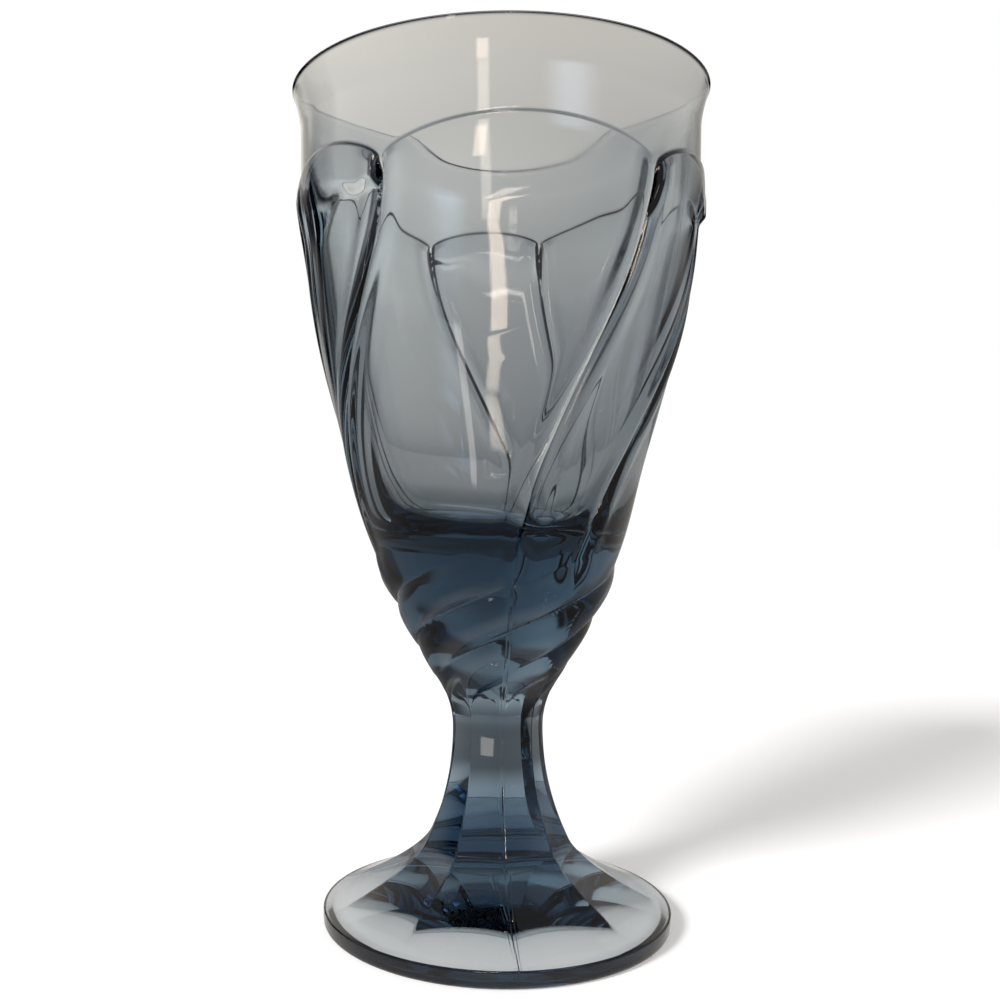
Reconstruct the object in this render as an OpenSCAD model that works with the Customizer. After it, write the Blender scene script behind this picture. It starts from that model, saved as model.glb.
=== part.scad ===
// Water goblet of pressed glass: a bowl wrapped in swirled petals, a fluted stem and a round foot.
// Millimetres, +Z up, origin at the centre of the ring that the foot stands on.
// Bearings are degrees from the front, -Y, positive towards +X.

/* [Goblet] */
// Height from the table to the rim
goblet_h = 174; // [150:1:200]
// Diameter over the flared rim
rim_d = 88; // [80:0.5:96]
// Height at which the stem meets the bowl
bowl_z = 48; // [44:1:56]
// Height at which the foot meets the stem
foot_h = 17; // [14:1:20]

/* [Bowl] */
// Diameter of the neck, the ring under the flared lip
neck_d = 83.8; // [74:0.1:86]
// Height of the flared lip above the neck
lip_h = 9; // [6:0.5:14]
// Thickness of the glass at the lip
lip_t = 2; // [1.2:0.1:2.4]
// Thickness of the wall at the neck
neck_t = 2.2; // [1.8:0.1:3]
// Thickness of the wall half way down the bowl, at the edges of a petal
wall_t = 4.8; // [3.8:0.1:6]
// Depth of solid glass from the floor of the bowl down to the stem
base_t = 31.5; // [28:0.5:40]

/* [Petals] */
// Bearing of the first seam at its top, the right edge of a wide petal
seam_bearing = 41; // [0:1:119]
// Drop from the rim to the crown of each petal
arch_drop = 16.6; // [13:0.2:22]
// Rise of a wide petal's arched top from the seam to the crown
arch_rise = 6.6; // [3:0.2:10]
// Height of the step where a petal starts, along its arch
step_h = 0.6; // [0:0.1:1]
// How far the rolled top of a petal swells beyond that step
roll_h = 0.6; // [0:0.1:1.4]
// Drop from the arch to the fullest part of its rolled top
roll_w = 8; // [4:0.2:9]
// How far the border beside a seam stands out
border_h = 0.5; // [0:0.1:1]
// Distance from a seam to the crest of its border
border_w = 2.6; // [1.5:0.1:4]
// Depth of the groove along a seam
groove_h = 0.8; // [0:0.1:1]
// Depth of the flattened middle of a wide petal, below the edges of the petal
panel_h = 1.2; // [0:0.1:1.6]

/* [Wraps] */
// Height above the stem at which a seam turns and wraps round the bowl
wrap_z = 24; // [20:0.5:28]
// Height between one wrap and the next below it
wrap_drop = 9.4; // [7:0.2:11]
// How far the uppermost wrap stands out
wrap_h = 1.3; // [0:0.1:2]

/* [Stem] */
// Diameter of the waist of the stem, over the edges between flutes
waist_d = 19.4; // [16:0.2:24]
// Height of the waist
waist_z = 41; // [36:0.5:44]
// Diameter over the edges where the stem meets the bowl
stem_top_d = 22.4; // [20:0.2:26]
// Diameter over the edges where the stem meets the foot
stem_foot_d = 30.6; // [28:0.2:34]
// Flutes for each pair of petals
flutes_per_pair = 3; // [2:1:5]
// Height that the arched top of a flute climbs across the flute
flute_rise = 8.2; // [4:0.2:10]

/* [Foot] */
// Diameter of the foot
foot_d = 73; // [64:0.5:84]
// Thickness of the edge of the foot
edge_t = 3.7; // [3:0.1:5]
// Radius of the lower corner of the edge
edge_r = 1.2; // [0.6:0.1:1.4]
// Width of the flat ring that the foot stands on
land_w = 2.2; // [1.5:0.1:6]
// Depth of the hollow under the foot
hollow_h = 5.2; // [1:0.1:6]

/* [Hidden] */
// Wide and narrow petals take turns round the bowl
pairs = 3;
pair_pitch = 360 / pairs;
// Part of a pair that its narrow petal takes, at the top and where it reaches the wraps
narrow_top_share = 0.375;
narrow_low_share = 0.25;
// Rise of a narrow petal's arched top, as a share of a wide one's
narrow_rise_share = 0.85;
// How far a seam has swung to the left when it reaches the wraps, as a share of a pair
swirl_share = 0.3;
wraps = 2 * pairs;
wrap_pitch = 360 / wraps;
// Bearing of the first seam where it turns into a wrap
wrap_bearing = seam_bearing - swirl_share * pair_pitch;
flutes = pairs * flutes_per_pair;
flute_pitch = 360 / flutes;
rim_r = rim_d / 2;
neck_r = neck_d / 2;
neck_z = goblet_h - lip_h;
crown_z = goblet_h - arch_drop;
valley_z = crown_z - arch_rise;
mean_arch_z = crown_z - 0.25 * arch_rise;
wrap_top_z = bowl_z + wrap_z;
floor_z = bowl_z + base_t;
stem_top_r = stem_top_d / 2;
stem_foot_r = stem_foot_d / 2;
waist_r = waist_d / 2;
foot_r = foot_d / 2;
// Width of the chamfered shoulder between the flare of the foot and its edge
shoulder_w = 0.5;
// Height that the step along an arch takes to rise
step_w = 0.5;
// How far one solid runs into another that it is joined with or cut by
overrun = 0.6;
// Width of the chamfer inside and outside the lip
lip_round = lip_t / 4;

// Outline of the bowl: shares of the height and of the widening from the stem to the neck
bowl_outline_shares = [
    [0, 0], [0.11, 0.236], [0.215, 0.414], [0.345, 0.61],
    [0.515, 0.778], [0.69, 0.922], [0.86, 0.99], [1, 1]
];
// Outline of the cavity: shares of the height from the floor to the neck and of the radius there
cavity_outline_shares = [
    [0, 0], [0.012, 0.23], [0.03, 0.435], [0.065, 0.562], [0.125, 0.652], [0.205, 0.732], [0.3, 0.802],
    [0.415, 0.869], [0.53, 0.925], [0.65, 0.965], [0.77, 0.994], [0.86, 1.003], [1, 1]
];
// Columns of points across a narrow petal and across a wide one
narrow_columns = 12;
wide_columns = 18;

function clamp(x) = min(1, max(0, x));
function mix(a, b, t) = a + (b - a) * t;
// Smooth step from 0 at a to 1 at b
function ease(a, b, x) = let (t = clamp((x - a) / (b - a))) t * t * (3 - 2 * t);
function bell(x) = exp(-x * x);
function frac(x) = x - floor(x);

// Cubic curve through points [x, y], read at x
function slope(p, i) =
    let (a = max(0, i - 1), b = min(len(p) - 1, i + 1))
    (p[b][1] - p[a][1]) / (p[b][0] - p[a][0]);
function segment(p, x, i = 0) = i >= len(p) - 2 || x <= p[i + 1][0] ? i : segment(p, x, i + 1);
function curve(p, x) =
    let (
        i = segment(p, x),
        w = p[i + 1][0] - p[i][0],
        t = clamp((x - p[i][0]) / w),
        u = 1 - t
    )
    p[i][1] * u * u * (1 + 2 * t) + p[i + 1][1] * t * t * (3 - 2 * t)
        + slope(p, i) * w * t * u * u - slope(p, i + 1) * w * t * t * u;
// Point on a cubic curve from a to d with handles at b and c
function bezier(a, b, c, d, t) =
    let (u = 1 - t) u * u * u * a + 3 * u * u * t * b + 3 * u * t * t * c + t * t * t * d;

// Bearing of the first seam at height z: it swings to the left on its way down
function seam(z) = seam_bearing - swirl_share * pair_pitch * (1 - ease(wrap_top_z, valley_z, z));
// Part of a pair that the narrow petal takes at height z
function narrow_share(z) = mix(narrow_low_share, narrow_top_share, ease(wrap_top_z, valley_z, z));
// Petal at bearing a and height z: whether it is a wide one, share across it from the left, width
function petal_at(a, z) =
    let (across = frac((a - seam(z)) / pair_pitch), narrow = narrow_share(z))
    across < narrow ? [false, across / narrow, narrow * pair_pitch]
        : [true, (across - narrow) / (1 - narrow), (1 - narrow) * pair_pitch];

// Radius of the plain outline of the bowl, stem and foot
function lip_r(z) = mix(neck_r, rim_r, pow((z - neck_z) / lip_h, 1.7));
function bowl_r(z) = z > neck_z ? lip_r(z)
    : mix(stem_top_r, neck_r, curve(bowl_outline_shares, (z - bowl_z) / (neck_z - bowl_z)));
function stem_r(z) = z > waist_z
    ? mix(waist_r, stem_top_r, pow((z - waist_z) / (bowl_z - waist_z), 2))
    : mix(waist_r, stem_foot_r, pow((waist_z - z) / (waist_z - foot_h), 2.1));
function outline_r(z) = z > bowl_z ? bowl_r(z) : stem_r(z);

// Height of the arched top of a petal, at share s of its width
function arch_z(wide, s) =
    let (rise = wide ? arch_rise : arch_rise * narrow_rise_share)
    valley_z + rise * pow(max(0, sin(180 * s)), 0.6);

// Rolled top of a petal: it swells from the arch down. On a wide petal it fades out below, and on a
// narrow one it ends in a tuck on the right.
function roll(wide, s, z) =
    let (
        tuck = wide ? 0 : ease(0.45, 0.75, s),
        reach = wide ? (0.6 + 0.4 * ease(0.1, 0.6, s)) * (1 - 0.5 * ease(0.6, 1, s)) : 0.6 + 0.4 * tuck,
        width = roll_w * (0.35 + 0.65 * ease(-0.02, 0.2, s) * ease(-0.02, 0.2, 1 - s)),
        drop = arch_z(wide, s) - z,
        below = max(0, drop / width),
        swell = step_h * ease(0, step_w, drop) + roll_h * (1 - pow(1 - min(below, 1), 2))
    )
    reach * swell * (1 - ease(mix(0.8, 0.9, tuck), mix(2.2, 1.3, tuck), below));

// Relief of a petal: flattened middle, borders and groove along its seams, rolled top
function petal_relief(a, z) =
    let (
        petal = petal_at(a, z),
        wide = petal[0],
        s = petal[1],
        off = outline_r(z) * min(s, 1 - s) * petal[2] * PI / 180 / border_w,
        drop = arch_z(wide, s) - z,
        under = ease(-0.1, 0.4, drop / roll_w),
        over = ease(wrap_top_z - wrap_drop * 0.3, wrap_top_z + wrap_drop * 0.5, z),
        body = ease(0, 3, drop / roll_w) * ease(wrap_top_z, wrap_top_z + 3 * wrap_drop, z),
        flat = panel_h * pow(petal[2] / pair_pitch / (1 - narrow_top_share), 2)
    )
    -4 * flat * body * s * (1 - s)
        + under * over * (border_h * bell((off - 1) / 0.7) - groove_h * bell(off / 0.3))
        + roll(wide, s, z) * (1 - bell(off / 0.7));

// Relief of the wraps: each seam turns at the foot of its petal and runs round the bowl, falling.
// back is the bearing back to the seam on the right, and rows is the number of wraps above the point.
function wrap_start(back) = ease(0, 0.6 * wrap_pitch, back);
function wrap_relief(back, z) =
    let (
        level = (z - (wrap_top_z - wrap_drop * back / wrap_pitch)) / wrap_drop,
        rows = max(0, ceil(-level)),
        w = min(1, level + rows),
        own = wrap_start(back + wrap_pitch * rows),
        above = rows > 0 ? wrap_start(back + wrap_pitch * (rows - 1)) : 0,
        size = wrap_h * pow(clamp((z - bowl_z) / wrap_z), 1.3)
    )
    size * (own * sin(180 * pow(w, 0.8))
        - 0.4 * above * ease(0.5, 1, w)
        - 0.4 * own * (1 - ease(0, 0.1, w)));

// Inset of the flutes, 0 on the edges between them and deepest in the middle.
// Each flute has an arched top that climbs from its left edge to its right edge.
function flute_share(across) =
    let (half = flute_pitch / 2, off = abs(across - 0.5) * flute_pitch)
    1 - cos(half) / cos(off);
function flute_inset(across, z) =
    let (top = bowl_z - flute_rise * 0.4 + flute_rise * pow(max(across, 0), 0.45))
    1.15 * flute_share(across) * (1 - ease(top - 0.1 * flute_rise, top, z));

// Radius of the glass at bearing a and height z, above the foot
function glass_r(a, z) =
    let (
        back = wrap_pitch * (1 - frac((a - wrap_bearing) / wrap_pitch)),
        across = frac((a - wrap_bearing) / flute_pitch),
        relief = z > bowl_z ? petal_relief(a, z) + wrap_relief(back, z) : 0
    )
    (outline_r(z) + relief) * (1 - flute_inset(across, z));

// Foot: a cubic flare from the stem to the shoulder, with the flutes running out on it
function flare_r(t) =
    let (end = foot_r - shoulder_w, run = end - stem_foot_r)
    bezier(stem_foot_r, stem_foot_r + 0.11 * run, stem_foot_r + 0.69 * run, end, t);
function flare_z(t) =
    let (rise = foot_h - edge_t)
    bezier(foot_h, foot_h - 0.34 * rise, edge_t + 0.15 * rise, edge_t, t);
function foot_glass_r(a, t) =
    let (across = frac((a - wrap_bearing) / flute_pitch))
    flare_r(t) * (1 - 1.15 * flute_share(across) * (1 - ease(0.3, 1, t)));

function spot(a, r, z) = [r * sin(a), -r * cos(a), z];

// Closed skin over rings of points that run round the axis, lowest ring first
module skin(rings) {
    n = len(rings[0]);
    m = len(rings);
    polyhedron(
        points = [for (ring = rings) each ring],
        faces = [
            [for (i = [0:n - 1]) i],
            for (j = [0:m - 2]) for (i = [0:n - 1])
                let (a = j * n + i, b = j * n + (i + 1) % n)
                each [[a, b + n, b], [a, a + n, b + n]],
            [for (i = [n - 1:-1:0]) (m - 1) * n + i]
        ],
        convexity = 4
    );
}

// Bearings of a ring of points: close together beside the seams on the bowl, even on the stem
function crowded(i, n) = i / n - 0.75 * sin(360 * i / n) / (2 * PI);
function column_share(i, narrow) = i < narrow_columns
    ? narrow * crowded(i, narrow_columns)
    : narrow + (1 - narrow) * crowded(i - narrow_columns, wide_columns);
function ring_bearings(z) =
    let (columns = narrow_columns + wide_columns, close = ease(bowl_z, wrap_top_z, z))
    [
        for (k = [0:pairs - 1]) for (i = [0:columns - 1])
            mix(wrap_bearing, seam(z), close)
                + pair_pitch * (k + mix(i / columns, column_share(i, narrow_share(z)), close))
    ];
// Height of a point on the row at height z: the rows follow the arched tops of the petals
function row_z(a, z) =
    let (
        petal = petal_at(a, z),
        near = ease(valley_z - 2 * roll_w, valley_z, z) * (1 - ease(mean_arch_z, neck_z, z))
    )
    z + near * (arch_z(petal[0], petal[1]) - mean_arch_z);

module bowl() {
    rows = concat(
        [for (t = [0:1 / 16:1]) mix(bowl_z, wrap_top_z + 0.6 * wrap_drop, t)],
        [for (t = [1 / 9:1 / 9:1]) mix(wrap_top_z + 0.6 * wrap_drop, valley_z - roll_w, t)],
        [for (t = [1 / 8:1 / 8:1]) mix(valley_z - roll_w, mean_arch_z - step_w, t)],
        [for (t = [0:1 / 3:1]) mix(mean_arch_z, neck_z, t)],
        [for (t = [1 / 5:1 / 5:1]) mix(neck_z, goblet_h - lip_round, t)]
    );
    color("lightsteelblue")
        difference() {
            skin(concat(
                [for (z = rows) [
                    for (a = ring_bearings(z)) let (h = row_z(a, z)) spot(a, glass_r(a, h), h)
                ]],
                [[for (a = ring_bearings(goblet_h)) spot(a, rim_r - lip_round, goblet_h)]]
            ));
            bowl_cavity();
        }
}

// Smooth inside of the bowl, from the floor to the rim
module bowl_cavity() {
    mouth_r = rim_r - lip_t;
    throat_r = neck_r - neck_t;
    depth = neck_z - floor_z;
    steps = 48;
    slack = (neck_t - wall_t) / throat_r;
    rotate_extrude($fn = 180)
        polygon(concat(
            [[0, goblet_h + overrun], [0, floor_z]],
            [for (i = [1:steps])
                let (t = pow(i / steps, 1.6))
                [
                    throat_r * (curve(cavity_outline_shares, t) + slack * sin(180 * t)),
                    floor_z + depth * t
                ]
            ],
            [for (t = [0.1:0.1:1])
                [mix(throat_r, mouth_r - lip_round, pow(t, 1.5)), mix(neck_z, goblet_h - lip_round, t)]
            ],
            [[mouth_r, goblet_h], [mouth_r + overrun, goblet_h + overrun]]
        ));
}

// Fluted stem, trimmed flat where it meets the foot and the bowl
module stem() {
    rows = [for (t = [0:1 / 16:1]) mix(foot_h - overrun, bowl_z + overrun, t)];
    color("slategray")
        intersection() {
            skin([for (z = rows) [for (a = ring_bearings(bowl_z)) spot(a, glass_r(a, z), z)]]);
            translate([0, 0, foot_h])
                cylinder(r = foot_r, h = bowl_z - foot_h);
        }
}

module foot() {
    color("lightslategray")
        difference() {
            union() {
                foot_disc();
                foot_flare();
            }
            foot_hollow();
        }
}

// Flat disc with the edge of the foot
module foot_disc() {
    rotate_extrude($fn = 180)
        polygon(concat(
            [[0, 0]],
            [for (a = [-90:15:0])
                [foot_r - edge_r + edge_r * cos(a), edge_r + edge_r * sin(a)]
            ],
            [[foot_r, edge_t - shoulder_w], [foot_r - shoulder_w, edge_t], [0, edge_t]]
        ));
}

// Fluted flare that rises from the disc to the stem, sunk a little into the disc
module foot_flare() {
    tucked = shoulder_w / 2;
    bearings = ring_bearings(bowl_z);
    skin(concat(
        [[for (a = bearings) spot(a, foot_glass_r(a, 1) - 2 * tucked, edge_t - overrun)]],
        [[for (a = bearings) spot(a, foot_glass_r(a, 1) - tucked, edge_t)]],
        [for (t = [0.88:-0.11:-0.01]) [
            for (a = bearings) spot(a, foot_glass_r(a, max(t, 0)), flare_z(max(t, 0)))
        ]]
    ));
}

// Dome cut up into the underside, inside the flat ring
module foot_hollow() {
    r = foot_r - edge_r - land_w;
    sweep = (r * r + hollow_h * hollow_h) / (2 * hollow_h);
    rise = asin(r / sweep);
    rotate_extrude($fn = 180)
        polygon(concat(
            [[0, -overrun]],
            [[r, -overrun]],
            [for (i = [0:12])
                let (a = rise * (1 - i / 12))
                [sweep * sin(a), hollow_h - sweep + sweep * cos(a)]
            ]
        ));
}

bowl();
stem();
foot();
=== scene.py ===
# %% [markdown]
# A water goblet of pressed blue-grey glass, modelled and rendered as a lesson.
# The goblet is three parts of one glass: a bowl wrapped in six swirled petals, a fluted stem
# and a round foot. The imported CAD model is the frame: it says where each part begins and ends,
# and the fine meshes made here take the place of its plain solids.

import bpy
import numpy as np
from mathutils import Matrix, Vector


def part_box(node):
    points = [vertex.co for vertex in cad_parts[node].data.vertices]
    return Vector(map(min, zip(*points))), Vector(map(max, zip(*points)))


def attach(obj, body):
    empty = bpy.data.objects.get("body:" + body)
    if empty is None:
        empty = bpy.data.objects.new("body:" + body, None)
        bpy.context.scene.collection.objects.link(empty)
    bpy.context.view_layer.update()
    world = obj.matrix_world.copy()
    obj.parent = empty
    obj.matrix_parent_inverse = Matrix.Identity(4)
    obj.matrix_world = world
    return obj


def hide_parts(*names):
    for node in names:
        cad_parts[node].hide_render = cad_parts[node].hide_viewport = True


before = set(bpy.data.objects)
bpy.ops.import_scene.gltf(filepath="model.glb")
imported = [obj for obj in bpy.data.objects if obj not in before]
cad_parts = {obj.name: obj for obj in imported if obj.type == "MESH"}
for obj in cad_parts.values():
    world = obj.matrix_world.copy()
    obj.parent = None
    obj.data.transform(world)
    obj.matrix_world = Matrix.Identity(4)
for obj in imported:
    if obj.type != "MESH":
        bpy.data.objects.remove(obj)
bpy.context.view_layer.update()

bpy.ops.object.select_all(action="DESELECT")
print("CAD nodes:", sorted(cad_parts))

# %% [markdown]
# Everything is in metres, so sizes that are easier to think of in millimetres are multiplied by MM.
# The outer sizes are read from the boxes of the CAD nodes, so the meshes stay inside the frame.
# The parts stop a hundredth of a millimetre apart, so that no two faces lie in one plane.

# %% Sizes of the goblet
MM = 0.001
bowl_low, bowl_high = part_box("bowl")
stem_low, stem_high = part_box("stem")
foot_low, foot_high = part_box("foot")
rim_z = bowl_high.z
bowl_z = stem_high.z
stem_z = stem_low.z
rim_r = (bowl_high.x - bowl_low.x) / 2
foot_r = (foot_high.x - foot_low.x) / 2
joint_gap = 0.01 * MM
print(f"rim at {rim_z / MM:.1f} mm, joints at {bowl_z / MM:.1f} and {stem_z / MM:.1f} mm")

# %% [markdown]
# The relief is built from a few curves that rise and fall smoothly. Each works on whole
# arrays of points at once, which keeps the fine meshes quick to make.

# %% Curves that the relief is made of
def mix(a, b, t):
    return a + (b - a) * t


def ease(a, b, x):
    """Smooth step from 0 at a to 1 at b."""
    t = np.clip((x - a) / (b - a), 0, 1)
    return t * t * (3 - 2 * t)


def bell(x):
    return np.exp(-x * x)


# %% [markdown]
# A glass wall is a mirror too, and a mirror shows every small bend of its outline. So the
# outline is a curve through few points, and its small bends are evened out by averaging it with
# its neighbours above and below, except near its ends.

# %% Curve for an outline
even_share = 0.1


def curve(points, x):
    """Smooth curve through listed points."""
    places, values = np.array(points, float).T
    last = len(places) - 1
    index = np.arange(last + 1)
    before, after = np.maximum(index - 1, 0), np.minimum(index + 1, last)
    slope = (values[after] - values[before]) / (places[after] - places[before])
    i = np.clip(np.searchsorted(places, x) - 1, 0, last - 1)
    width = places[i + 1] - places[i]
    t = np.clip((x - places[i]) / width, 0, 1)
    u = 1 - t
    ends = values[i] * u * u * (1 + 2 * t) + values[i + 1] * t * t * (3 - 2 * t)
    return ends + slope[i] * width * t * u * u - slope[i + 1] * width * t * t * u


def even_curve(points, x):
    """The same curve with its small bends evened out."""
    reach = even_share * ease(0.15, 0.4, x) * ease(0, 0.2, 1 - x)
    return (curve(points, x - reach) + 2 * curve(points, x) + curve(points, x + reach)) / 4


# %% [markdown]
# The outline without its relief runs from the foot's joint up the stem, which is narrowest at
# its waist, and up the bowl to the flared lip. The bowl's points are shares of its height and
# of its widening, so the outline stretches with the frame.

# %% Outline of the stem and bowl
waist_r = 9.7 * MM
waist_z = 41 * MM
stem_top_r = 11.2 * MM
stem_foot_r = 15.3 * MM
neck_r = 41.9 * MM
lip_h = 9 * MM
neck_z = rim_z - lip_h
bowl_outline_shares = [
    (0, 0), (0.11, 0.236), (0.215, 0.414), (0.345, 0.61),
    (0.515, 0.778), (0.69, 0.922), (0.86, 0.99), (1, 1),
]


def outline_r(z):
    lip = mix(neck_r, rim_r, np.clip((z - neck_z) / (rim_z - neck_z), 0, 1) ** 1.7)
    share = even_curve(bowl_outline_shares, (z - bowl_z) / (neck_z - bowl_z))
    body = mix(stem_top_r, neck_r, share)
    above = mix(waist_r, stem_top_r, np.clip((z - waist_z) / (bowl_z - waist_z), 0, 1) ** 2)
    below = mix(waist_r, stem_foot_r, np.clip((waist_z - z) / (waist_z - stem_z), 0, 1) ** 2.1)
    column = np.where(z > waist_z, above, below)
    return np.where(z > neck_z, lip, np.where(z > bowl_z, body, column))


print(f"waist at {waist_z / MM:.1f} mm, lip from {neck_z / MM:.1f} mm")

# %% [markdown]
# Wide and narrow petals take turns round the bowl, three of each. They swirl: each seam swings
# to the left on its way down, most of it in the middle, and the narrow petals get narrower. A
# point on the bowl is therefore placed by the seams at its own height, and by its share across
# its petal, from 0 at the left seam to 1 at the right one.

# %% Places of the petals
pairs = 3
pair_pitch = 360 / pairs
seam_bearing = 41
swirl_share = 0.3
narrow_top_share = 0.375
narrow_low_share = 0.25
narrow_rise_share = 0.85
arch_drop = 16.6 * MM
arch_rise = 6.6 * MM
crown_z = rim_z - arch_drop
valley_z = crown_z - arch_rise
wrap_rise = 24 * MM
wrap_drop = 9.4 * MM
wrap_top_z = bowl_z + wrap_rise
print(f"petals from {wrap_top_z / MM:.1f} mm to arches at {crown_z / MM:.1f} mm")

# %% Layout of the petals
def swing(z):
    """0 where the seams reach the wraps, 1 at their tops."""
    return ease(wrap_top_z, valley_z, z)


def seam(z):
    """Bearing of the seam on the left of a narrow petal."""
    return seam_bearing - swirl_share * pair_pitch * (1 - swing(z))


def narrow_share(z):
    return mix(narrow_low_share, narrow_top_share, swing(z))


def petal_at(bearing, z):
    """Whether a point is on a wide petal, its share across the petal, and the petal's width."""
    across, narrow = (bearing - seam(z)) / pair_pitch % 1, narrow_share(z)
    wide = across >= narrow
    share = np.where(wide, (across - narrow) / (1 - narrow), across / narrow)
    return wide, share, np.where(wide, 1 - narrow, narrow) * pair_pitch


def arch_z(wide, share):
    """Height of the arch over a petal."""
    rise = arch_rise * np.where(wide, 1, narrow_rise_share)
    return valley_z + rise * np.sin(np.pi * np.clip(share, 0, 1)) ** 0.6


# %% [markdown]
# The top of each petal stands out in a step and swells a little. Then it sinks back over a long
# way, because a short, round roll would work as a strong lens and turn the back of the goblet
# upside down. On the right of a narrow petal it ends sooner, in a tuck at the seam.

# %% Tops of the petals
step_h = 0.75 * MM
step_w = 0.8 * MM
roll_h = 0.5 * MM
roll_w = 8 * MM
roll_end_share = 0.6
wide_swell_share = 0.2
narrow_swell_share = 0.6
tuck_shares = (0.45, 0.75)
wide_fade_shares = (0.3, 3.2)
narrow_fade_shares = (0.8, 2.2)
tuck_fade_shares = (0.9, 1.3)


def roll(wide, share, z):
    """How far the top of a petal stands out."""
    tuck = np.where(wide, 0, ease(*tuck_shares, share))
    width = roll_w * mix(roll_end_share, 1, ease(-0.02, 0.2, share) * ease(-0.02, 0.2, 1 - share))
    drop = arch_z(wide, share) - z
    below = np.clip(drop / width, 0, 4)
    swell_share = np.where(wide, wide_swell_share, mix(narrow_swell_share, 1, tuck))
    swell = swell_share * roll_h * (1 - (1 - np.minimum(below, 1)) ** 2)
    fade_start = np.where(wide, wide_fade_shares[0], mix(narrow_fade_shares[0], tuck_fade_shares[0], tuck))
    fade_end = np.where(wide, wide_fade_shares[1], mix(narrow_fade_shares[1], tuck_fade_shares[1], tuck))
    return (step_h * ease(0, step_w, drop) + swell) * (1 - ease(fade_start, fade_end, below))


# %% [markdown]
# A deep groove marks each seam, and a soft border runs along both sides of it. The middle of a
# petal is a flat panel, cut into the round of the bowl. The groove is sharp at its bottom, so
# that the seam shows as a fine line.

# %% Relief of the petals
border_h = 0.45 * MM
border_w = 2.6 * MM
border_soft_share = 0.7
groove_h = 0.9 * MM
groove_w = 0.75 * MM
groove_steepness = 1.2
seam_over = 0.3 * MM
seam_under = 3 * MM
seam_end_z = wrap_top_z - 0.3 * wrap_drop
seam_full_z = wrap_top_z + 0.5 * wrap_drop
panel_h = 1.2 * MM
panel_run = 3 * roll_w
panel_full_z = wrap_top_z + 3 * wrap_drop


def petal_relief(bearing, z):
    """How far the petals stand out from the plain outline."""
    wide, share, width = petal_at(bearing, z)
    off = outline_r(z) * np.minimum(share, 1 - share) * np.radians(width)
    drop = arch_z(wide, share) - z
    border = border_h * bell((off - border_w) / (border_soft_share * border_w))
    groove = groove_h * np.exp(-groove_steepness * off / groove_w)
    along = ease(-seam_over, seam_under, drop) * ease(seam_end_z, seam_full_z, z)
    chord = (width / pair_pitch / (1 - narrow_top_share)) ** 2 * 4 * share * (1 - share)
    panel = panel_h * chord * ease(0, panel_run, drop) * ease(wrap_top_z, panel_full_z, z)
    return along * (border - groove) - panel + roll(wide, share, z) * (1 - bell(off / groove_w))


# %% [markdown]
# At the foot of the petals the seams turn and wrap round the solid base of the bowl like the
# outer leaves of a bud, each one falling to the left. Every wrap covers the one below it, so
# at each height the relief asks which wrap it is on and how far down it is.

# %% Relief of the wraps
wraps = 2 * pairs
wrap_pitch = 360 / wraps
wrap_bearing = seam_bearing - swirl_share * pair_pitch
wrap_h = 1.3 * MM
wrap_start_share = 0.6
wrap_tuck_share = 0.4
wrap_step_share = 0.7


def wrap_start(back):
    """How much of a wrap is there, by the degrees behind its start."""
    return ease(0, wrap_start_share * wrap_pitch, back)


def wrap_relief(back, z):
    level = (z - (wrap_top_z - wrap_drop * back / wrap_pitch)) / wrap_drop
    rows = np.maximum(0, np.ceil(-level))
    share = np.minimum(1, level + rows)
    own = wrap_start(back + wrap_pitch * rows)
    above = np.where(rows > 0, wrap_start(back + wrap_pitch * (rows - 1)), 0)
    size = wrap_h * np.clip((z - bowl_z) / wrap_rise, 0, 1) ** 1.3
    crest = own * np.sin(np.pi * np.clip(share, 0, 1) ** 0.8)
    tuck = wrap_tuck_share * above * ease(0.6, 1, share)
    step = wrap_step_share * own * (1 - ease(0, 0.09, share))
    return size * (crest - tuck - step)


print(f"{wraps} wraps, the first one at {wrap_bearing:.0f} degrees")

# %% [markdown]
# The flutes are nine shallow hollows round the stem. Each has an arched top that climbs to the
# right, and they run out on the flare of the foot. With them the outside of bowl and stem is
# one formula: the radius of the glass at a bearing and a height.

# %% Relief of the flutes
flutes = 3 * pairs
flute_pitch = 360 / flutes
flute_rise = 8.2 * MM
flute_low_share = 0.4
flute_depth_share = 1.15


def flute_share(across):
    """How far a flat between two edges of the stem lies inside its round, as a share."""
    off = np.radians(np.abs(across - 0.5) * flute_pitch)
    return flute_depth_share * (1 - np.cos(np.radians(flute_pitch / 2)) / np.cos(off))


def flute_inset(across, z):
    top = bowl_z + flute_rise * (across**0.45 - flute_low_share)
    return flute_share(across) * (1 - ease(top - 0.1 * flute_rise, top, z))


def glass_r(bearing, z):
    """Radius of the outside of the bowl and stem."""
    back = wrap_pitch * (1 - (bearing - wrap_bearing) / wrap_pitch % 1)
    across = (bearing - wrap_bearing) / flute_pitch % 1
    relief = np.where(z > bowl_z, petal_relief(bearing, z) + wrap_relief(back, z), 0)
    return (outline_r(z) + relief) * (1 - flute_inset(across, z))


print(f"{flutes} flutes, {flute_share(0.5):.1%} deep")

# %% [markdown]
# Every part of the goblet is round, so each mesh starts as one tall cylinder that is cut into
# rings by a subdivide of its upright edges. One subdivide makes 100 cuts at most, so there are
# two rounds: 6 cuts and then 39 make 7 times 40 bands. The rings are then laid over the surface
# one after another: up the outside, over the lip and down the inside, which gives a closed solid
# with no seams to sew. Grooves cut with booleans would leave long thin faces along the swirl,
# and glass shows those as dents.

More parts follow.
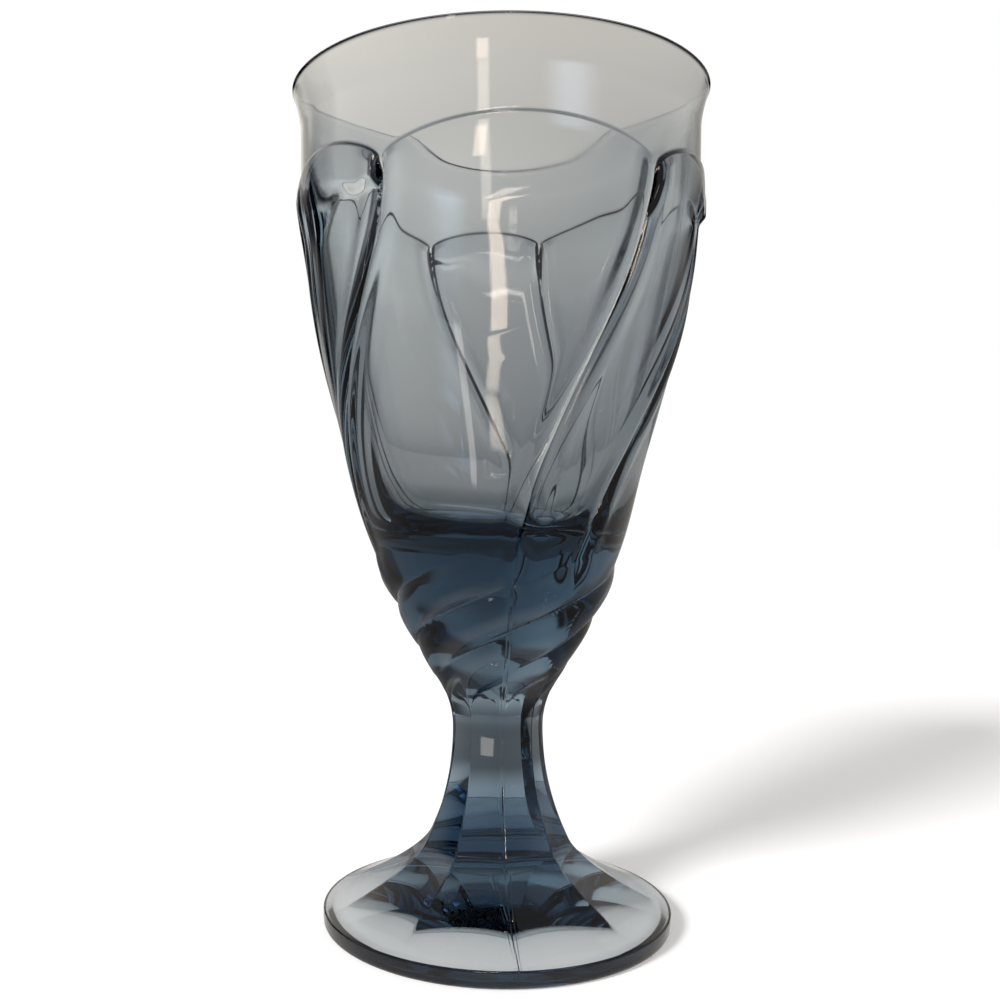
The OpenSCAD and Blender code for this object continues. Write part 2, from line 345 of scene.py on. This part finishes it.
# %% Cylinder cut into rings
def ringed_cylinder(name, columns, cuts):
    """Cylinder whose upright edges are subdivided once for each number of cuts."""
    bpy.ops.mesh.primitive_cylinder_add(
        vertices=columns, radius=1, depth=1, end_fill_type="TRIFAN"
    )
    piece = bpy.context.object
    piece.name = piece.data.name = name
    for cut in cuts:
        bpy.ops.object.mode_set(mode="EDIT")
        bpy.ops.mesh.select_mode(type="EDGE")
        bpy.ops.mesh.select_all(action="DESELECT")
        bpy.ops.object.mode_set(mode="OBJECT")
        ends = np.array([v.co for v in piece.data.vertices])[
            np.array([e.vertices[:] for e in piece.data.edges])
        ]
        upright = np.abs(ends[:, 0] - ends[:, 1])[:, :2].max(1) < 1e-4
        piece.data.edges.foreach_set("select", upright)
        bpy.ops.object.mode_set(mode="EDIT")
        bpy.ops.mesh.subdivide(number_cuts=cut)
        bpy.ops.object.mode_set(mode="OBJECT")
    return piece


def lay_over(piece, rings, low_pole, high_pole):
    """Moves each ring of the cylinder to its own row of points, and its two poles to heights."""
    x, y, z = np.array([v.co for v in piece.data.vertices]).T
    row_count, columns = rings.shape[:2]
    row = np.rint((z + 0.5) * (row_count - 1)).astype(int)
    turn = np.arctan2(x, -y) / (2 * np.pi)
    column = np.rint(turn * columns).astype(int) % columns
    placed = rings[row, column]
    poles = np.hypot(x, y) < 0.5
    placed[poles & (z < 0)] = (0, 0, low_pole)
    placed[poles & (z > 0)] = (0, 0, high_pole)
    piece.data.vertices.foreach_set("co", placed.astype(np.float32).ravel())
    piece.data.update()
    print(piece.name, "rings:", row_count, "columns:", columns)


# %% [markdown]
# The mesh needs most of its columns beside the seams, where the relief is narrow. The columns
# follow the seams on their way down and spread out evenly where the flutes begin.

# %% Columns that follow the seams
narrow_columns, wide_columns = 42, 66
pair_columns = narrow_columns + wide_columns
ring_columns = pairs * pair_columns


def crowded(count):
    """Shares from 0 to 1 that lie close together near both ends."""
    t = np.arange(count) / count
    return t - 0.75 * np.sin(2 * np.pi * t) / (2 * np.pi)


def bearings(z):
    """Bearing of every column on the rows at heights z."""
    close = ease(bowl_z, wrap_top_z, z)[:, None]
    narrow = narrow_share(z)[:, None]
    shares = np.hstack([narrow * crowded(narrow_columns), narrow + (1 - narrow) * crowded(wide_columns)])
    shares = mix(np.arange(pair_columns) / pair_columns, shares, close)
    turns = shares[:, None, :] + np.arange(pairs)[None, :, None]
    return mix(wrap_bearing, seam(z)[:, None], close) + pair_pitch * turns.reshape(len(z), -1)


def spots(bearing, r, z):
    """Points at a bearing from the front, a radius and a height."""
    angle = np.radians(bearing)
    return np.stack([r * np.sin(angle), -r * np.cos(angle), z + 0 * angle], axis=-1)


def steps(a, b, count):
    return np.linspace(a, b, count + 1)[1:]


# %% [markdown]
# The rows are close where the relief is steep: on the wraps and at the step of the arches. Near
# the arches they rise and fall with them, so that the step runs along one row of edges and
# stays sharp.

# %% Outside of the bowl
lip_t = 2 * MM
lip_edge_z = rim_z - lip_t / 2
mean_arch = crown_z - 0.25 * arch_rise
wraps_end = wrap_top_z + 0.6 * wrap_drop
arches_from = valley_z - 6 * MM
follow_from = valley_z - 14 * MM
outer_rows = np.concatenate([
    [bowl_z + joint_gap / 2],
    steps(bowl_z, wraps_end, 82),
    steps(wraps_end, arches_from, 46),
    steps(arches_from, mean_arch - step_w, 48),
    steps(mean_arch - step_w, mean_arch, 6),
    steps(mean_arch, neck_z, 24),
    steps(neck_z, lip_edge_z, 12),
])
start = bearings(outer_rows)
wide, share, _ = petal_at(start, outer_rows[:, None])
near = ease(follow_from, valley_z, outer_rows) * (1 - ease(mean_arch, neck_z, outer_rows))
heights = outer_rows[:, None] + near[:, None] * (arch_z(wide, share) - mean_arch)
outside = spots(start, glass_r(start, heights), heights)
print("rows outside the bowl:", len(outer_rows))

# %% [markdown]
# The inside of the bowl is smooth, because the plunger of the press leaves it so. The wall is
# thin at the lip and about 5 mm thick below it, and the base under the drink is solid glass.
# The cavity has an outline of its own, as shares of its depth and of its radius.

# %% Inside of the bowl
neck_t = 2.2 * MM
wall_t = 4.8 * MM
base_t = 31.5 * MM
floor_z = bowl_z + base_t
depth = neck_z - floor_z
throat_r = neck_r - neck_t
slack = (neck_t - wall_t) / throat_r
cavity_outline_shares = [
    (0, 0), (0.012, 0.23), (0.03, 0.435), (0.065, 0.562), (0.125, 0.652), (0.205, 0.732),
    (0.3, 0.802), (0.415, 0.869), (0.53, 0.925), (0.65, 0.965), (0.77, 0.994), (0.86, 1.003), (1, 1),
]
down = np.linspace(1, 0, 42)[:-1] ** 1.6
cavity_r = throat_r * (even_curve(cavity_outline_shares, down) + slack * np.sin(np.pi * down))
cavity_profile = np.stack([cavity_r, floor_z + depth * down], axis=1)
print(f"cavity {depth / MM:.1f} mm deep under the lip, on {base_t / MM:.1f} mm of glass")

# %% [markdown]
# The lip is a half circle between outside and inside. A fire polish rounds it like this on the
# real glass.

# %% Lip
mouth_r = rim_r - lip_t
lip_turn = np.radians(steps(0, 180, 7))
lip_mid = (rim_r - lip_t / 2, lip_edge_z)
lip_profile = np.stack([np.cos(lip_turn), np.sin(lip_turn)], axis=1) * lip_t / 2 + lip_mid
flare = np.linspace(1, 0, 13)[1:-1]
flare_profile = np.stack(
    [mix(throat_r, mouth_r, flare**1.5), mix(neck_z, lip_edge_z, flare)], axis=1
)
inner = np.concatenate([lip_profile, flare_profile, cavity_profile])
inside = spots(bearings(np.full(len(inner), rim_z)), inner[:, :1], inner[:, 1:])
print("rows over the lip and inside:", len(inner))

# %% [markdown]
# A flat face where the bowl meets the stem closes the bottom. Its rings keep the columns of the
# bowl, so the faces get narrow towards the middle, which a flat face doesn't show.

# %% Bowl
joint_shares = np.array([0.3, 0.7, 0.95])


def joint_face(ring):
    """Rings that fill the flat face inside the first or last ring of a part."""
    return joint_shares[:, None, None] * ring * (1, 1, 0) + (0, 0, ring[0, 2])


bowl_rings = np.concatenate([joint_face(outside[0]), outside, inside])
bowl = ringed_cylinder("goblet_bowl", ring_columns, (6, 39))
lay_over(bowl, bowl_rings, bowl_rings[0, 0, 2], floor_z)

# %% [markdown]
# The stem is the solid column that the bowl is pressed in one with. It is the same glass
# surface below the joint, closed by a flat face at each end, so the flutes run on over the joint.

# %% Stem
def even_bearings(count):
    """Bearings of evenly spread columns, for rows at and below the joint."""
    return bearings(np.full(count, bowl_z))


stem_rows = np.linspace(stem_z + joint_gap / 2, bowl_z - joint_gap / 2, 115)
stem_bearings = even_bearings(len(stem_rows))
heights = stem_rows[:, None] + 0 * stem_bearings
skin = spots(stem_bearings, glass_r(stem_bearings, heights), heights)
stem_rings = np.concatenate([joint_face(skin[0]), skin, joint_face(skin[-1])[::-1]])
stem = ringed_cylinder("goblet_stem", ring_columns, (7, 14))
lay_over(stem, stem_rings, stem_rows[0], stem_rows[-1])

# %% [markdown]
# The foot stands on a narrow flat ring round a shallow dome. The dome matters for the looks:
# only where it slopes enough does light pass the underside, and that makes the light ring
# seen through the foot. The edge is a rounded band below and a small round above.

# %% Underside and edge of the foot
edge_t = 3.7 * MM
edge_r = 1.2 * MM
shoulder_w = 0.5 * MM
land_w = 2.2 * MM
hollow_h = 5.2 * MM
dome_r = foot_r - edge_r - land_w
dome_sweep = (dome_r**2 + hollow_h**2) / (2 * hollow_h)
dome = steps(0, dome_r, 16)
dome_profile = np.stack([dome, hollow_h - dome_sweep + np.sqrt(dome_sweep**2 - dome**2)], axis=1)
land = steps(dome_r, foot_r - edge_r, 4)
land_profile = np.stack([land, 0 * land], axis=1)
corner = np.radians(steps(-90, 0, 8))
corner_profile = np.stack(
    [foot_r - edge_r + edge_r * np.cos(corner), edge_r + edge_r * np.sin(corner)], axis=1
)
shoulder = np.radians(np.linspace(0, 90, 7))[:-1]
shoulder_r = foot_r - shoulder_w
shoulder_profile = np.stack(
    [shoulder_r + shoulder_w * np.cos(shoulder), edge_t - shoulder_w + shoulder_w * np.sin(shoulder)],
    axis=1,
)
edge_profile = np.concatenate([dome_profile, land_profile, corner_profile, shoulder_profile])
edge_rings = spots(even_bearings(len(edge_profile)), edge_profile[:, :1], edge_profile[:, 1:])
print("rows of the underside and edge:", len(edge_rings))

# %% [markdown]
# From the edge the glass sweeps up to the stem along one Bezier curve, and the flutes run out
# on it. Their ends are the points of the dark star that shows in the foot.

# %% Foot
def bezier(a, b, c, d, t):
    u = 1 - t
    return u**3 * a + 3 * u * u * t * b + 3 * u * t * t * c + t**3 * d


t = np.linspace(1, 0, 92)[:, None]
run = shoulder_r - stem_foot_r
rise = stem_z - edge_t
flare_r = bezier(stem_foot_r, stem_foot_r + 0.11 * run, stem_foot_r + 0.69 * run, shoulder_r, t)
flare_z = bezier(stem_z - joint_gap / 2, stem_z - 0.34 * rise, edge_t + 0.15 * rise, edge_t, t)
flare_bearings = even_bearings(len(t))
across = (flare_bearings - wrap_bearing) / flute_pitch % 1
flare_rings = spots(flare_bearings, flare_r * (1 - flute_share(across) * (1 - ease(0.3, 1, t))), flare_z)
foot_rings = np.concatenate([edge_rings, flare_rings, joint_face(flare_rings[-1])[::-1]])
foot = ringed_cylinder("goblet_foot", ring_columns, (7, 15))
lay_over(foot, foot_rings, hollow_h, foot_rings[-1, 0, 2])

# %% [markdown]
# The three parts are one glass on the real goblet, so light must pass the faces where they meet
# as if nothing were there. Those faces are marked with an attribute that the glass reads. Edges
# of up to 50 degrees are shaded smooth, and steeper ones, as in the seams and round the joint
# faces, stay sharp.

# %% Joint faces, normals and the places in the frame
smooth_angle = 50


def dress(piece, cad_node):
    """Shades a mesh, marks its joint faces and puts it in the frame."""
    mesh = piece.data
    bpy.context.view_layer.objects.active = piece
    bpy.ops.object.select_all(action="DESELECT")
    piece.select_set(True)
    bpy.ops.object.shade_smooth_by_angle(angle=np.radians(smooth_angle))
    corner_z = np.array([v.co.z for v in mesh.vertices])[
        np.array([p.vertices[:3] for p in mesh.polygons])
    ]
    joints = [z + side * joint_gap / 2 for z in (bowl_z, stem_z) for side in (1, -1)]
    at_joint = np.any([np.abs(corner_z - z).max(1) < joint_gap / 10 for z in joints], axis=0)
    marks = mesh.attributes.new("joint", "FLOAT", "FACE")
    marks.data.foreach_set("value", at_joint.astype(np.float32))
    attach(piece, "root")
    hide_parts(cad_node)
    print(piece.name, "faces:", len(mesh.polygons), "joint faces:", int(at_joint.sum()))


dress(bowl, "bowl")
dress(stem, "stem")
dress(foot, "foot")

# %% [markdown]
# Shader maths reads like Python: this class wraps a socket, and each operator adds a Math node.
# Every other node comes from one function, which takes its settings and the values or links of
# its sockets.

# %% Sockets that can be added and multiplied
class Value:
    def __init__(self, tree, socket):
        self.tree, self.socket = tree, socket

    def maths(self, operation, *others):
        """A Math node with this value first."""
        values = dict(enumerate((self, *others)))
        return node(self.tree, "ShaderNodeMath", {"operation": operation}, values)

    def __add__(self, other):
        return self.maths("ADD", other)

    def __sub__(self, other):
        return self.maths("SUBTRACT", other)

    def __rsub__(self, other):
        return node(self.tree, "ShaderNodeMath", {"operation": "SUBTRACT"}, {0: other, 1: self})

    def __mul__(self, other):
        return self.maths("MULTIPLY", other)

    def __neg__(self):
        return self.maths("MULTIPLY", -1)

    def __abs__(self):
        return self.maths("ABSOLUTE")

    __radd__, __rmul__ = __add__, __mul__

    def between(self, low, high):
        """Smooth step from 0 at low to 1 at high."""
        return node(
            self.tree, "ShaderNodeMapRange", {"interpolation_type": "SMOOTHSTEP"},
            {"Value": self, "From Min": low, "From Max": high},
        )


def node(tree, kind, settings=None, inputs=None, output=0):
    """Makes a node, sets it up and returns one of its outputs, if it has any."""
    made = tree.nodes.new(kind)
    for name, value in (settings or {}).items():
        setattr(made, name, value)
    for name, value in (inputs or {}).items():
        if isinstance(value, Value):
            tree.links.new(value.socket, made.inputs[name])
        else:
            made.inputs[name].default_value = value
    return Value(tree, made.outputs[output]) if made.outputs else None


# %% Helpers for every material
def empty_tree(owner):
    """Node tree of a material or world, with nothing in it."""
    owner.use_nodes = True
    owner.node_tree.nodes.clear()
    return owner.node_tree


def split(vector):
    """The three parts of a vector."""
    return [node(vector.tree, "ShaderNodeSeparateXYZ", {}, {0: vector}, output=axis) for axis in range(3)]


def strip(value, middle, inner, outer):
    """1 round the middle, fading to 0 between two distances from it."""
    return 1 - abs(value - middle).between(inner, outer)


def ray(tree, kind):
    """1 for one kind of ray, such as Camera or Glossy, and 0 for the others."""
    return node(tree, "ShaderNodeLightPath", output=f"Is {kind} Ray")


# %% [markdown]
# Pressed glass is never quite even. Where the parts of the mould met, three fine lines run down
# the base of the bowl, the stem and the foot. They are a bump, because they are too low to need
# faces of their own.

# %% Mould lines
mould_bearing = 4
line_h = 0.1 * MM
line_widths = (0.2 * MM, 0.5 * MM)
lines_top = (floor_z - 4 * MM, floor_z + 6 * MM)


def mould_lines(x, y, z):
    """1 on the lines, fading out where the walls begin."""
    turn = x.maths("ARCTAN2", -y) - np.radians(mould_bearing)
    off = turn.maths("PINGPONG", np.radians(pair_pitch / 2))
    reach = (x * x + y * y).maths("SQRT")
    return (1 - (off * reach).between(*line_widths)) * (1 - z.between(*lines_top))


# %% [markdown]
# The glass is clear at its surface and takes its colour from depth: thin walls stay nearly
# clear, and the solid base turns a deep blue. A blue surface would tint all walls alike, so the
# colour is a Volume Absorption, and its density was set by the look of the base. The skin has
# slow waves from cooling, as a bump, and is duller in places, where it was handled and washed.

# %% Glass
glass_ior = 1.5
depth_colour = (0.08, 0.29, 0.44, 1)
depth_density = 80.0
unevenness = 45.0
wave_h = 0.03 * MM
polish, wear = 0.02, 0.07


def glass(name):
    material = bpy.data.materials.new(name)
    tree = empty_tree(material)
    place = node(tree, "ShaderNodeTexCoord", output="Object")
    wave = node(tree, "ShaderNodeTexNoise", {}, {"Vector": place, "Scale": unevenness, "Detail": 1.0})
    smudge = node(tree, "ShaderNodeTexNoise", {}, {"Vector": place, "Scale": unevenness, "Detail": 4.0})
    bump = node(tree, "ShaderNodeBump", {}, {
        "Strength": 1.0, "Distance": 1.0, "Height": wave * wave_h + mould_lines(*split(place)) * line_h,
    })
    surface = node(tree, "ShaderNodeBsdfPrincipled", {}, {
        "Base Color": (1, 1, 1, 1), "Roughness": smudge.between(0.5, 0.75) * wear + polish,
        "IOR": glass_ior, "Transmission Weight": 1.0, "Normal": bump,
    })
    joint = node(tree, "ShaderNodeAttribute", {"attribute_name": "joint"}, output="Fac")
    clear = node(tree, "ShaderNodeBsdfTransparent")
    both = node(tree, "ShaderNodeMixShader", {}, {0: joint, 1: surface, 2: clear})
    depth_tint = node(tree, "ShaderNodeVolumeAbsorption", {}, {
        "Color": depth_colour, "Density": depth_density,
    })
    node(tree, "ShaderNodeOutputMaterial", {}, {"Surface": both, "Volume": depth_tint})
    print(name, "nodes:", len(tree.nodes))
    return material


for piece in (bowl, stem, foot):
    piece.data.materials.append(glass(piece.name + "_glass"))

# %% [markdown]
# The camera stands level, a little left of the goblet and as high as the middle of the bowl. Its
# place and lens were fitted so that the rim, the lip line and the foot, which are circles round
# one axis, make the same ovals as on the photograph.

# %% Camera
camera_data = bpy.data.cameras.new("camera")
camera_data.sensor_width = 36
camera_data.lens = 40.19
camera_data.shift_x = 0.058
camera_data.clip_start = 10 * MM
camera_roll = -0.0042
camera = bpy.data.objects.new("camera", camera_data)
camera.location = (-11.87 * MM, -237.6 * MM, 88.64 * MM)
camera.rotation_euler = (np.radians(90), camera_roll, 0)
bpy.context.collection.objects.link(camera)
bpy.context.scene.camera = camera
print("camera at", [round(c / MM, 1) for c in camera.location], "mm")

# %% [markdown]
# The floor is a pale sheet that keeps the goblet's soft shadow and fades into the white
# background. A white floor seen through the glass would wash its blue out, so rays that the
# goblet bends or mirrors find a darker floor that glows by itself, with painted light on it: a
# painted pool of light close round the foot, a little more glow far away, and one painted
# reflection of a warm window in front, which the stem mirrors.

# %% Floor sheet
floor_r = 4000 * MM
floor_drop = 0.05 * MM
bpy.ops.mesh.primitive_circle_add(
    vertices=96, radius=floor_r, fill_type="NGON", location=(0, 0, -floor_drop)
)
floor = bpy.context.object
floor.name = "floor"
print(f"floor {floor_drop / MM:.2f} mm below the foot")

# %% Floor as the glass sees it, with painted light
# Levels of the floor's painted glow: a grey, a painted pool of light round the foot, more glow far away
# and a painted window reflection.
painted_glow_grey = (1, 0.95, 0.9)
dim_level, painted_pool_level, far_level, painted_reflection_level = 0.23, 0.57, 0.12, 4
painted_pool_zone = (42 * MM, 80 * MM)
far_zone = (150 * MM, 400 * MM)
painted_reflection_from = (200 * MM, 210 * MM)
painted_reflection_to = (420 * MM, 460 * MM)
painted_reflection_slant = 0.51
painted_reflection_widths = (0.035, 0.05)


# Emission for the floor that glass rays find: a grey glow with painted light on it.
def painted_floor_for_glass(place, distance):
    east, north, _ = split(place)
    south = -north
    # painted reflection of a warm window on the floor, seen only where the glass mirrors it
    painted_reflection = strip(east.maths("DIVIDE", north), painted_reflection_slant, *painted_reflection_widths)
    painted_reflection = painted_reflection * south.between(*painted_reflection_from) * (1 - south.between(*painted_reflection_to))
    painted_reflection = painted_reflection * (1 - ray(place.tree, "Transmission"))
    # painted pool of light close round the foot, and a little more glow far away
    painted_pool = 1 - distance.between(*painted_pool_zone)
    level = dim_level + painted_pool * painted_pool_level + distance.between(*far_zone) * far_level + painted_reflection * painted_reflection_level
    colour = node(
        place.tree, "ShaderNodeVectorMath", {"operation": "SCALE"}, {0: painted_glow_grey, "Scale": level}
    )
    return node(place.tree, "ShaderNodeEmission", {}, {"Color": colour, "Strength": 1.0})


# %% Floor material
white = (1, 1, 1, 1)
floor_pale = (0.86, 0.86, 0.863, 1)
floor_glow = 0.27
fade_zone = (500 * MM, 2500 * MM)
material = bpy.data.materials.new("floor")
tree = empty_tree(material)
place = node(tree, "ShaderNodeTexCoord", output="Object")
distance = node(tree, "ShaderNodeVectorMath", {"operation": "LENGTH"}, {0: place}, output="Value")
diffuse = node(tree, "ShaderNodeBsdfDiffuse", {}, {"Color": floor_pale})
glow = node(tree, "ShaderNodeEmission", {}, {"Color": white, "Strength": floor_glow})
lit = node(tree, "ShaderNodeAddShader", {}, {0: diffuse, 1: glow})
backdrop = node(tree, "ShaderNodeEmission", {}, {"Color": white, "Strength": 1.0})
sheet = node(tree, "ShaderNodeMixShader", {}, {0: distance.between(*fade_zone), 1: lit, 2: backdrop})
# rays off or through the glass find the floor with its painted light
by_glass = ray(tree, "Glossy").maths("MAXIMUM", ray(tree, "Transmission"))
both = node(tree, "ShaderNodeMixShader", {}, {0: by_glass, 1: sheet, 2: painted_floor_for_glass(place, distance)})
node(tree, "ShaderNodeOutputMaterial", {}, {"Surface": both})
floor.data.materials.append(material)
print("floor nodes:", len(tree.nodes))

# %% [markdown]
# Clear glass is drawn by what it bends into view, so the room is as much a part of its looks as
# the material. It is a plain room by direction, with east, north and up from -1 to 1: pale
# behind the goblet and lighter on its left, dark on both sides so that the edges of the glass
# draw themselves, and grey behind the camera. An image of a room would bring in a place that
# isn't part of the object, so it is made from a few smooth steps.

# %% Walls of the room
pale_left = (1.0, 0.94, 0.85, 1)
pale_right = (0.62, 0.58, 0.53, 1)
low_grey = (0.24, 0.235, 0.235, 1)
high_grey = (0.25, 0.25, 0.26, 1)
near_grey = (0.36, 0.35, 0.34, 1)
dark = (0.012, 0.014, 0.02, 1)


def colour_mix(share, a, b):
    """Colour a where the share is 0, and b where it is 1."""
    return node(share.tree, "ShaderNodeMix", {"data_type": "RGBA"}, {0: share, 6: a, 7: b}, output=2)


def walls(east, north, up):
    pale = colour_mix(east.between(-0.35, 0.15), pale_left, pale_right)
    room = colour_mix(up.between(-0.08, 0.34), low_grey, pale)
    room = colour_mix(up.between(0.5, 0.65), room, high_grey)
    aside = abs(east)
    sides = aside.between(0.38, 0.5) * (1 - aside.between(0.55, 0.75)) * north.between(0.3, 0.6)
    room = colour_mix(sides * (1 - up.between(0.2, 0.27)), room, dark)
    room = colour_mix((-north).between(-0.6, 0.2), room, near_grey)
    left = (-east).between(0.6, 0.75) * north.between(0.2, 0.35) * (1 - up.between(0.3, 0.45))
    return colour_mix(left, room, dark)


# %% [markdown]
# Three lights hang behind the camera, where only the glass can mirror them: a warm lamp that
# draws the streak on the lip, a tall warm window for the streak on the petals, which leans so
# that the streak does, and a cool window for the soft blue patches.

# %% Windows of the room
warm_lamp = (9.0, 7.4, 5.9, 1)
warm_window = (14.0, 11.0, 8.6, 1)
cool_window = (2.8, 3.4, 4.1, 1)


def windows(room, east, north, up):
    south = -north
    lamp = strip(east, -0.2, 0.03, 0.07) * (1 - up.between(0.18, 0.26)) * up.between(-0.1, 0)
    room = colour_mix(lamp * south.between(0.2, 0.4), room, warm_lamp)
    above = up - 0.39
    lean = abs(east - 0.087 + above * 1.6) - above * 0.5
    tall = (1 - lean.between(0.03, 0.08)) * up.between(0.36, 0.4) * (1 - up.between(0.55, 0.6))
    room = colour_mix(tall * south.between(0.2, 0.4), room, warm_window)
    cool = strip(east, 0.55, 0.02, 0.25) * up.between(0.18, 0.28) * (1 - up.between(0.4, 0.5))
    return colour_mix(cool * south.between(0.3, 0.7), room, cool_window)


# %% [markdown]
# The camera itself finds plain white behind the goblet, and the floor is lit by a plain grey, so
# that neither the lamp nor the walls tint it.

# %% Room round the goblet
plain_grey = (0.35, 0.35, 0.352, 1)
world = bpy.data.worlds.new("room")
bpy.context.scene.world = world
tree = empty_tree(world)
directions = split(node(tree, "ShaderNodeTexCoord", output="Generated"))
room = windows(walls(*directions), *directions)
room = colour_mix(ray(tree, "Diffuse"), room, plain_grey)
room = colour_mix(ray(tree, "Camera"), room, white)
background = node(tree, "ShaderNodeBackground", {}, {"Color": room, "Strength": 1.0})
node(tree, "ShaderNodeOutputWorld", {}, {"Surface": background})
print("room nodes:", len(tree.nodes))

# %% [markdown]
# One wide lamp from the front left casts the soft shadow to the back right. The glass doesn't
# mirror it, because the room has the lights that the glass shows.

# %% Sun
sun_tilt, sun_turn, sun_width = 60, -45, 15
sun_data = bpy.data.lights.new("sun", "SUN")
sun_data.energy = 3.3
sun_data.angle = np.radians(sun_width)
sun = bpy.data.objects.new("sun", sun_data)
sun.rotation_euler = (np.radians(sun_tilt), 0, np.radians(sun_turn))
sun.visible_glossy = False
sun.visible_transmission = False
bpy.context.collection.objects.link(sun)
print("sun", sun_width, "degrees wide, tilted", sun_tilt, "degrees")

# %% [markdown]
# A ray can cross a dozen walls of this goblet before it is out, and each crossing is a bounce.
# With too few of them the base and the foot would turn black. The Standard view shows colours
# as they are, so that the background stays plain white.

# %% Bounces and colours
bounces = 24
scene = bpy.context.scene
scene.view_settings.view_transform = "Standard"
scene.cycles.max_bounces = bounces
scene.cycles.transmission_bounces = bounces
scene.cycles.transparent_max_bounces = bounces
print("bounces:", bounces)
